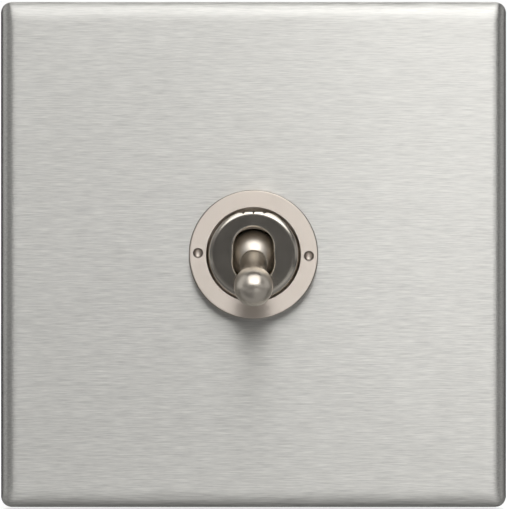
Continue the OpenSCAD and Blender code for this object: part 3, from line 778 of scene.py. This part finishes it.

# %% [markdown]
# ## The bush
# The bush is the polished barrel inside the ring. A flat along its top stops it turning in the yoke's
# keyed hole, and on the flat are a small raised land and three notches. The lever swings in an upright
# slot in its face, and behind it the bush widens into a flange that closes the switch case. All of these
# outlines can be seen from the axis, so the whole bush is one swept surface. Extra angles are added near
# the corners of an outline. The slot's wall is rougher than the face, and its colour is painted lighter:
# painted light inside the slot, so that the ball's top, which reflects the wall, is not black.

# %% Build the bush
barrel_r, rim_w, rim_deep = 7.95, 1.3, 0.45
nose_r, nose_root_r, nose_deep, nose_slope, nose_edge = 7.85, 7.45, 2.0, 0.7, 0.02
flat_z, land_z, land_half, notch_half, notch_z = 7.22, 7.38, 1.83, 0.15, 7.05
slot_half_w, slot_half_h, slot_lip = 3.55, 4.8, 0.32
slot_reach, slot_painted_light, slot_rough = 6.0, 0.25, 0.6
front_wall, bore_r, bore_step = 1.6, 4.5, 1.0
relief_half_w, relief_half_h = 4.5, 5.7
flange_front, flange_back, flange_bevel = -0.2, bush_high.y, 0.2
flange_half_w, flange_half_h, flange_corner = bush_high.x, bush_high.z, 2.0
notch_spots = (-land_half, 0, land_half)
rim_step, barrel_step, bush_sides = 0.1, 0.11, 192
face_shares, flat_from = (0.03, 0.5, 0.97), 0.5


def out_to_obround(angle, half_w, half_h):
    """Distance from the axis to the side of an upright slot with round ends."""
    c, s, rise = abs(cos(angle)), abs(sin(angle)), half_h - half_w
    straight = half_w / max(c, least)
    if straight * s <= rise:
        return straight
    return rise * s + sqrt(half_w * half_w - rise * rise * c * c)


def out_to_slot(angle):
    """Distance from the axis to the side of the lever's slot."""
    return out_to_obround(angle, slot_half_w, slot_half_h)


def top_height(x):
    """Height of the barrel's top at x: flat, land or notch."""
    if any(abs(x - spot) < notch_half for spot in notch_spots):
        return notch_z
    return land_z if abs(x) < land_half else flat_z


def out_to_barrel(angle):
    """Distance from the axis to the barrel's side, with the flat on top."""
    if sin(angle) < flat_from:
        return barrel_r
    lands = [z / sin(angle) for z in (land_z, flat_z, notch_z) if top_height(z / tan(angle)) >= z]
    return min(barrel_r, max(lands, default=notch_z / sin(angle)))


def rim_height(radius):
    """How far back the face lies at a radius: flat, then the rounded rim."""
    share = min(max((radius - nose_r + rim_w) / rim_w, 0.0), 1.0)
    return bush_y + rim_deep * share ** 3


def slot_row(extra, y):
    """The side of the slot, or that much outside it."""
    return lambda angle: (out_to_slot(angle) + extra, y)


def wide_row(radius, y):
    """The bore behind the slot, never narrower than the slot."""
    return lambda angle: (max(out_to_slot(angle), radius), y)


def relief_row(y):
    """The opening at the back, where the lever's tail swings."""
    return lambda angle: (out_to_obround(angle, relief_half_w, relief_half_h), y)


def face_row(share):
    """Flat face, from the slot's lip to the start of the rim."""
    def row(angle):
        inner = out_to_slot(angle) + slot_lip
        return inner + (nose_r - rim_w - inner) * share, bush_y
    return row


def rim_row(radius):
    """Round the rim, as far as the flat on top leaves it."""
    def row(angle):
        kept = min(radius, out_to_barrel(angle))
        return kept, rim_height(kept)
    return row


def nose_row(radius, y):
    """The plain relief behind the rim, where the thread starts."""
    return lambda angle: (min(radius, out_to_barrel(angle)), y)


def barrel_row(y):
    """The thread of the barrel, cut off by the flat on top."""
    def row(angle):
        return min(out_to_barrel(angle), barrel_r - thread_deep * groove(y, angle, bush_pitch)), y
    return row


def flange_row(inset, y):
    """The side of the flange, or that much inside it."""
    half_w, half_h, corner = flange_half_w - inset, flange_half_h - inset, flange_corner - inset
    return lambda angle: (out_to_block(angle, half_w, half_h, corner), y)


sides, beside, flange_steps = (-1, 1), 0.004, (0.6, 1.2, 2.0)
# Each notch gets extra angles at its left wall and its middle.
notch_marks = [spot + shift for spot in notch_spots for shift in (-notch_half, 0)]
corners = [(x + side * beside, z) for x in notch_marks for z in (land_z, notch_z) for side in sides]
for sx in sides:
    for sz in sides:
        corners += [(sx * flange_half_w, sz * (flange_half_h - t)) for t in flange_steps]
        corners += [(sx * (flange_half_w - t), sz * flange_half_h) for t in (0.0,) + flange_steps]
bush_angles = sorted({round(a % (2 * pi), 5) for a in even(bush_sides) + [atan2(z, x) for x, z in corners]})

wall_y, nose_end = bush_y + front_wall, bush_y + nose_deep
lip = arc((slot_lip, bush_y + slot_lip), slot_lip, 180, 270, 6)
bush_rows = [slot_row(0, wall_y)] + [slot_row(extra, y) for extra, y in lip]
bush_rows += [face_row(share) for share in face_shares]
bush_rows += [rim_row(radius) for radius in steps_between(nose_r - rim_w, nose_r, rim_step)]
bush_rows += [nose_row(nose_r, bush_y + rim_deep + nose_edge)]
bush_rows += [nose_row(nose_root_r, bush_y + nose_deep * nose_slope), nose_row(nose_root_r, nose_end)]
bush_rows += [barrel_row(y) for y in steps_between(nose_end, flange_front, barrel_step)]
bush_rows += [flange_row(flange_bevel, flange_front), flange_row(0, flange_front + flange_bevel)]
bush_rows += [flange_row(0, flange_back - flange_bevel), flange_row(flange_bevel, flange_back)]
bush_rows += [relief_row(flange_back), relief_row(pivot.y)]
bush_rows += rows_of([(bore_r, pivot.y), (bore_r, wall_y + bore_step)])
bush_rows += [wide_row(bore_r, wall_y + bore_step), wide_row(bore_r, wall_y)]
# The inside mask makes the slot's wall rougher and paints it lighter: painted light inside the slot.
polished_nickel = finish("polished_nickel", (0.51, 0.472, 0.417), rough=0.2, cloud=(4.0, 0.03, 0.02),
                         inside=(bush_y + slot_lip, slot_reach, slot_painted_light, slot_rough))
made("bush_turned", *swept(bush_angles, bush_rows), polished_nickel, "base", "bush", "bush", sharp=28)

# %% [markdown]
# ## The lever's knob
# The lever is turned in two pieces. A polished ball swings in the bush, and a satin knob is pressed on
# its spigot: a short neck with a bevelled foot, and a nearly round tip. The profile is drawn once along
# the lever's own axis and turned; a rotation about the pivot then tips it down, as the photograph shows
# it.

# %% Build the knob
ball_r, seat_gap = 4.2, 0.06
neck_foot_r, neck_end_r, foot_bevel = 2.3, 2.25, 0.07
tip_r, tip_at, tip_band = 3.34, 13.4, 0.54
spigot_r, spigot_end = 1.4, 9.6
seat_steps, lever_sides = (spigot_r, 1.7, 2.0), 96
seat_r = ball_r + seat_gap
neck_foot = sqrt(seat_r ** 2 - neck_foot_r ** 2) - foot_bevel / 4
neck_end = tip_at - tip_band / 2 - sqrt(tip_r ** 2 - neck_end_r ** 2)
on_lever = Matrix.Translation(pivot) @ Matrix.Rotation(radians(180 + lever_tilt), 4, "X")

tip_start = -degrees(asin((neck_end - tip_at + tip_band / 2) / -tip_r))
foot_soft, neck_soft, neck_flare, flare_at = 0.3 * foot_bevel, 0.25, 0.03, 0.08
knob_profile = [(0, spigot_end), (spigot_r, spigot_end)]
knob_profile += [(r, sqrt(seat_r ** 2 - r ** 2)) for r in seat_steps]
knob_profile += [(neck_foot_r - foot_bevel, neck_foot), (neck_foot_r - foot_soft, neck_foot + foot_soft)]
knob_profile += [(neck_foot_r, neck_foot + foot_bevel), (neck_end_r, neck_end - neck_soft)]
knob_profile += [(neck_end_r + neck_flare, neck_end - flare_at)]
knob_profile += arc((0, tip_at - tip_band / 2), tip_r, tip_start, 0, 20)[1:]
knob_profile += arc((0, tip_at + tip_band / 2), tip_r, 0, 90, 32)[:-1]
knob_profile += [(0, tip_at + tip_band / 2 + tip_r)]
satin_knob = finish("satin_knob", (0.64, 0.585, 0.51), rough=0.3,
                    speckle=(0.14, 0.025, 0.03, 0.0012), cloud=(2.5, 0.03, 0.03))
knob = swept(even(lever_sides), rows_of(knob_profile), closed=False)
made("dolly_knob_turned", *knob, satin_knob, "dolly", "dolly_knob", "dolly_knob", matrix=on_lever)

# %% [markdown]
# ## The lever's ball
# The ball is turned in one piece with its spigot and tail, nickelled and polished. Round the neck's foot
# it has a narrow flat step, and the shadow in that step is the thin dark line that parts neck and ball in
# the photograph. The tail is bored for the spring, and two holes in the ball's sides take the pivot pins.
# A lathe can't make those, so they are cut with a Boolean modifier. The helper below wraps it, because
# the screws need it again.


# %% Build the ball
def blank_of(points, faces):
    """A plain mesh object for a Boolean modifier."""
    blank = bpy.data.objects.new("blank", welded("blank", points, faces, near=1e-5))
    bpy.context.scene.collection.objects.link(blank)
    return blank


def shape_of(thing):
    """Points and faces of an object as its modifiers leave it, or of a filled curve."""
    shown = thing.evaluated_get(bpy.context.evaluated_depsgraph_get())
    mesh = shown.to_mesh()
    points = [tuple(v.co) for v in mesh.vertices]
    faces = [tuple(f.vertices) for f in mesh.polygons]
    shown.to_mesh_clear()
    return points, faces


def carved(part, cutters):
    """A closed part with other closed parts cut out of it."""
    blank = blank_of(*part)
    tools = [blank_of(*cutter) for cutter in cutters]
    for tool in tools:
        cut = blank.modifiers.new("cut", "BOOLEAN")
        cut.operation = "DIFFERENCE"
        cut.solver = "EXACT"
        cut.object = tool
    shape = shape_of(blank)
    for spare in [blank] + tools:
        bpy.data.objects.remove(spare)
    return shape


tail_r, tail_end = 2.6, -5.6
spring_bore_r, spring_bore_end = 1.8, 2.5
step_r, spigot_short = 2.44, 0.1
spigot_top = spigot_end - spigot_short
pin_hole_r, pin_hole_from, pin_hole_to, pin_sides = 1.05, 2.3, 2 * ball_r, 32
ball_profile = [(0, spring_bore_end), (spring_bore_r, spring_bore_end), (spring_bore_r, tail_end)]
ball_profile += [(tail_r, tail_end)]
ball_profile += arc((0, 0), ball_r, -degrees(acos(tail_r / ball_r)), degrees(acos(step_r / ball_r)), 40)
ball_profile += [(spigot_r, sqrt(ball_r ** 2 - step_r ** 2)), (spigot_r, spigot_top), (0, spigot_top)]


def pin_hole(side):
    """A cutter for one pin hole, along X."""
    profile = [(0, pin_hole_from), (pin_hole_r, pin_hole_from), (pin_hole_r, pin_hole_to), (0, pin_hole_to)]
    points, faces = swept(even(pin_sides), rows_of(profile), closed=False)
    return [(side * y, x, z) for x, y, z in points], faces


ball = carved(swept(even(lever_sides), rows_of(ball_profile), closed=False), [pin_hole(-1), pin_hole(1)])
polished_ball = finish("polished_ball", (0.73, 0.67, 0.59), rough=0.42,
                       speckle=(0.2, 0.015, 0.03, 0.0006), cloud=(3.0, 0.02, 0.02))
made("dolly_lever_turned", *ball, polished_ball, "dolly", "dolly_lever", "dolly_lever", matrix=on_lever)

# %% [markdown]
# ## Finishes behind the plate
# Behind the plate the switch is ordinary electrical hardware: zinc-plated steel, brass, and black, pale
# and nylon mouldings. Rolled and ground metal keeps its streaks, moulded pieces have a fine spark-eroded
# grain, and plating has a faint cloud in it.

# %% Mix the hardware finishes
zinc_sheet = finish("zinc_sheet", (0.62, 0.625, 0.63), rough=0.4,
                    streak=(2.5, 9.0, 0.04, 0.06, 0.002), cloud=(7.0, 0.05, 0.05))
zinc_screw = finish("zinc_screw", (0.66, 0.65, 0.62), rough=0.32,
                    speckle=(0.2, 0.05, 0.06, 0.001), cloud=(1.5, 0.05, 0.05))
brass_block = finish("brass_block", (0.78, 0.57, 0.26), rough=0.3,
                     streak=(4.0, 3.0, 0.05, 0.06, 0.0015), cloud=(2.5, 0.06, 0.06))
brass_strip = finish("brass_strip", (0.80, 0.62, 0.30), rough=0.28, streak=(5.0, 6.0, 0.05, 0.05, 0.001))
silver_tip = finish("silver_tip", (0.88, 0.86, 0.82), rough=0.3, speckle=(0.15, 0.04, 0.05, 0.001))
ground_steel = finish("ground_steel", (0.58, 0.58, 0.59), rough=0.25, streak=(8.0, 2.0, 0.05, 0.05, 0.0006))
spring_wire = finish("spring_wire", (0.66, 0.66, 0.67), rough=0.3, speckle=(0.1, 0.05, 0.05, 0.0004))
black_moulding = finish("black_moulding", (0.035, 0.035, 0.038), rough=0.5, metal=0.0,
                        speckle=(0.22, 0.12, 0.06, 0.006), cloud=(9.0, 0.06, 0.03))
pale_moulding = finish("pale_moulding", (0.76, 0.74, 0.68), rough=0.45, metal=0.0,
                       speckle=(0.25, 0.012, 0.05, 0.005), cloud=(8.0, 0.015, 0.03))
nylon = finish("nylon", (0.78, 0.78, 0.74), rough=0.4, metal=0.0,
               speckle=(0.3, 0.01, 0.04, 0.003), cloud=(3.0, 0.015, 0.02))

# %% [markdown]
# ## Pressed and moulded pieces
# The solid model has the right shape for the yoke, the liner, the case, the terminals and the screw
# keepers, but its edges are knife sharp, and no moulded or pressed edge is. The helper takes the solid's
# mesh, merges its flat faces and bevels every edge where the surface turns by more than 30 degrees. A
# Weighted Normal modifier then keeps the large faces flat to the eye, so only the narrow bevels catch the
# light.

# %% Round the edges of the solid pieces
flat_turn, edge_turn = radians(1), radians(30)


def softened(node, width, mat):
    """A solid piece with its sharp edges rounded."""
    bm = bmesh.new()
    bm.from_mesh(frame["nodes"][node].data)
    bmesh.ops.remove_doubles(bm, verts=bm.verts, dist=1e-6)
    bmesh.ops.dissolve_limit(bm, angle_limit=flat_turn, verts=bm.verts, edges=bm.edges)
    turns = [e for e in bm.edges if len(e.link_faces) == 2 and e.calc_face_angle() > edge_turn]
    bmesh.ops.bevel(bm, geom=turns, offset=width * mm, offset_type="OFFSET", segments=2, profile=0.5,
                    affect="EDGES", clamp_overlap=True)
    piece = made(node + "_softened", *parts_of(bm, mm), mat, "base", node, node, sharp=60)
    even_out = piece.modifiers.new("flat_faces", "WEIGHTED_NORMAL")
    even_out.keep_sharp = True


softened("mounting_yoke", width=0.15, mat=zinc_sheet)
softened("insulating_liner", width=0.2, mat=black_moulding)
softened("switch_case", width=0.25, mat=pale_moulding)
for terminal in ("common_terminal", "terminal_one", "terminal_two", "earth_terminal"):
    softened(terminal, width=0.12, mat=brass_block)
softened("screw_keepers", width=0.12, mat=nylon)

# %% [markdown]
# ## The screws
# Four kinds of screw show from behind: two long wall screws, four case screws, three clamp screws and the
# earth screw. Each is turned from rows like the other round pieces, and its driver slot is cut with the
# Boolean helper. The wall screws and the clamp screws show their threads. A screw is built once on the
# axis and copied to its places, which are read from the solid model's boxes.

# %% Write the screw helpers
driver_slot, overcut, slot_half_long = 0.7, 1, 9
round_r, screw_sides, rows_a_turn = 0.7, 32, 6


def block(xs, ys, zs):
    """A box between two values on each axis, for cutting a slot."""
    points = [(x, y, z) for x in xs for y in ys for z in zs]
    return points, [(0, 1, 3, 2), (4, 6, 7, 5), (0, 4, 5, 1), (2, 3, 7, 6), (0, 2, 6, 4), (1, 5, 7, 3)]


def thread_rows(radius, start, stop, pitch, deep):
    """Rows of an outside thread that runs out at both ends."""
    return [threaded_row(radius, y, pitch, deep, min(1.0, abs(y - start) / pitch, abs(stop - y) / pitch))
            for y in steps_between(start, stop, pitch / rows_a_turn)]


def screws(node, rows, slot_ys, spots):
    """Slotted screws, all alike, at several places (x, z)."""
    slot = block((-slot_half_long, slot_half_long), slot_ys, (-driver_slot / 2, driver_slot / 2))
    one = carved(swept(even(screw_sides), rows, closed=False), [slot])
    made(node + "_turned", *joined(*[moved(one, x, z) for x, z in spots]), zinc_screw, "base", node, node)


# %% Turn the wall screws
low, high = measured("fixing_screws")
head_r, head_bevel, neck_r, neck_end_y = 3.2, 0.1, 1.5, 2.2
wall_thread_r, wall_pitch, wall_groove = 1.75, 0.6, 0.36
run_in, point_long, wall_slot = 0.3, 0.4, 1.0
head_y, under_head = low.y, measured("mounting_yoke")[0].y
head_profile = [(0, head_y)] + arc((head_r - round_r, head_y + round_r), round_r, -90, 0, 5)
head_profile += [(head_r, under_head - head_bevel), (head_r - head_bevel, under_head)]
head_profile += [(neck_r, under_head), (neck_r, neck_end_y)]
wall_rows = rows_of(head_profile)
wall_rows += thread_rows(wall_thread_r, neck_end_y + run_in, high.y - point_long, wall_pitch, wall_groove)
wall_rows += rows_of([(wall_thread_r - point_long, high.y), (0, high.y)])
wall_x = high.x - head_r
screws("fixing_screws", wall_rows, (head_y - overcut, head_y + wall_slot), [(-wall_x, 0), (wall_x, 0)])

# %% Turn the case screws
low, high = measured("case_screws")
cap_r, shank_r, cap_y = 1.9, 1.05, measured("switch_case")[1].y
end_bevel, end_long, cap_bevel, cap_slot = 0.2, 0.3, 0.05, 0.6
cap_profile = [(0, low.y), (shank_r - end_bevel, low.y), (shank_r, low.y + end_long), (shank_r, cap_y)]
cap_profile += [(cap_r - cap_bevel, cap_y), (cap_r, cap_y + cap_bevel)]
cap_profile += arc((cap_r - round_r, high.y - round_r), round_r, 0, 90, 5) + [(0, high.y)]
cap_spots = [(sx * (high.x - cap_r), sz * (high.z - cap_r)) for sx in sides for sz in sides]
screws("case_screws", rows_of(cap_profile), (high.y - cap_slot, high.y + overcut), cap_spots)

# %% Turn the clamp screws
clamp_r, clamp_pitch, clamp_groove, clamp_slot = 1.5, 0.5, 0.3, 0.8
point_in, cone_in, cone_long = 0.45, 0.35, 0.15
clamp_start, clamp_end, clamp_bevel = 0.35, 0.3, 0.2


def clamp_screws(node, spots):
    """Headless screws with a blunt point in front and a driver slot behind."""
    low, high = measured(node)
    rows = rows_of([(0, low.y), (clamp_r - point_in, low.y), (clamp_r - cone_in, low.y + cone_long)])
    rows += thread_rows(clamp_r, low.y + clamp_start, high.y - clamp_end, clamp_pitch, clamp_groove)
    rows += rows_of([(clamp_r - clamp_bevel, high.y), (0, high.y)])
    screws(node, rows, (high.y - clamp_slot, high.y + overcut), spots)


high = measured("terminal_screws")[1]
clamp_x, clamp_z = high.x - clamp_r, high.z - clamp_r
clamp_screws("terminal_screws", [(clamp_x, clamp_z), (-clamp_x, clamp_z), (-clamp_x, -clamp_z)])
low, high = measured("earth_screw")
clamp_screws("earth_screw", [((low.x + high.x) / 2, (low.z + high.z) / 2)])

# %% [markdown]
# ## Marks on the case
# An electrician needs to know which terminal is which, so the mould leaves small raised letters beside
# the holes. These are a text curve, filled and given thickness, then turned to face backwards. The
# letters are generic: common, line one and line two.


# %% Raise the terminal marks
def raised(text, x, z, size=2.4, rise=0.25, sunk=0.05):
    """Points and faces of raised words on the back of the case, readable from behind."""
    curve = bpy.data.curves.new("words", "FONT")
    curve.body = text
    curve.size = size
    curve.align_x, curve.align_y = "CENTER", "CENTER"
    curve.extrude = (rise + sunk) / 2
    words = bpy.data.objects.new("words", curve)
    bpy.context.scene.collection.objects.link(words)
    points, faces = shape_of(words)
    bpy.data.objects.remove(words)
    mark_y = cap_y + (rise - sunk) / 2
    return [(x - right, mark_y + out, z + up) for right, up, out in points], faces


mark_drop = 5.2
mark_z = clamp_z - mark_drop
marks = joined(raised("COM", clamp_x, mark_z), raised("L1", -clamp_x, mark_z),
               raised("L2", -clamp_x, -mark_z))
made("terminal_marks", *marks, pale_moulding, "base", "switch_case")

# %% [markdown]
# ## The detent spring
# A spring of round wire sits in the lever's bored tail and pushes the plunger against the rocker. As on
# most springs that push, its end turns are closed and the turns between them are open. A Screw modifier
# could wind it, but a ring of points at each step along the wire gives the closed ends at once. When the
# plunger slides in, the real spring gets shorter; this mesh keeps one length.

# %% Wind the spring
wire_r, coil_r, closed_turns, open_turns = 0.2, 1.3, 1.0, 4.5
plunger_face, spring_play, closed_pitch = -3.0, 0.02, 0.42
wire_steps, wire_sides = 24, 10
wire_low, wire_high = plunger_face + spring_play + wire_r, spring_bore_end - spring_play - wire_r
all_turns = 2 * closed_turns + open_turns


def wire_height(turns):
    """Place of the wire's middle along the lever after some turns: closed, then open, then closed."""
    if turns < closed_turns:
        return wire_low + closed_pitch * turns
    if turns > all_turns - closed_turns:
        return wire_high - closed_pitch * (all_turns - turns)
    open_rise = wire_high - wire_low - 2 * closed_turns * closed_pitch
    return wire_low + closed_turns * closed_pitch + open_rise * (turns - closed_turns) / open_turns


wire_points = []
wire_stops = int(all_turns * wire_steps)
for stop in range(wire_stops + 1):
    turns = stop / wire_steps
    for around in even(wire_sides):
        out = coil_r + wire_r * cos(around)
        rise = wire_height(turns) + wire_r * sin(around)
        wire_points.append((out * cos(2 * pi * turns), rise, out * sin(2 * pi * turns)))
wire_ends = [0, wire_stops * wire_sides]
wire_faces = [tuple(range(end, end + wire_sides)) for end in wire_ends]
for stop in range(wire_stops):
    first, second = stop * wire_sides, (stop + 1) * wire_sides
    for k in range(wire_sides):
        after = (k + 1) % wire_sides
        wire_faces.append((first + k, first + after, second + after, second + k))
spring = made("detent_spring_wound", wire_points, wire_faces, spring_wire,
              "dolly", "detent_spring", "detent_spring", sharp=60, matrix=on_lever)
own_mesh(spring)

# %% [markdown]
# ## What stays inside
# The lock nut, the washer, the pins, the plunger and the contacts are closed in, so their solids stay as
# they are and only get a finish. They show when someone takes the switch apart or looks at it cut open.


# %% Finish the hidden pieces
def dressed(node, mat):
    """Keep a solid piece as it is and give it a finish."""
    frame["nodes"][node].data.materials.clear()
    frame["nodes"][node].data.materials.append(mat)
    print(f"{node}: {mat.name}")


hidden = {
    "lock_nut": polished_nickel, "lock_washer": zinc_sheet, "pivot_pins": ground_steel, "plunger": nylon,
    "rocker_contact": brass_strip, "rocker_tips": silver_tip, "fixed_contact_tips": silver_tip,
}
for node, mat in hidden.items():
    dressed(node, mat)
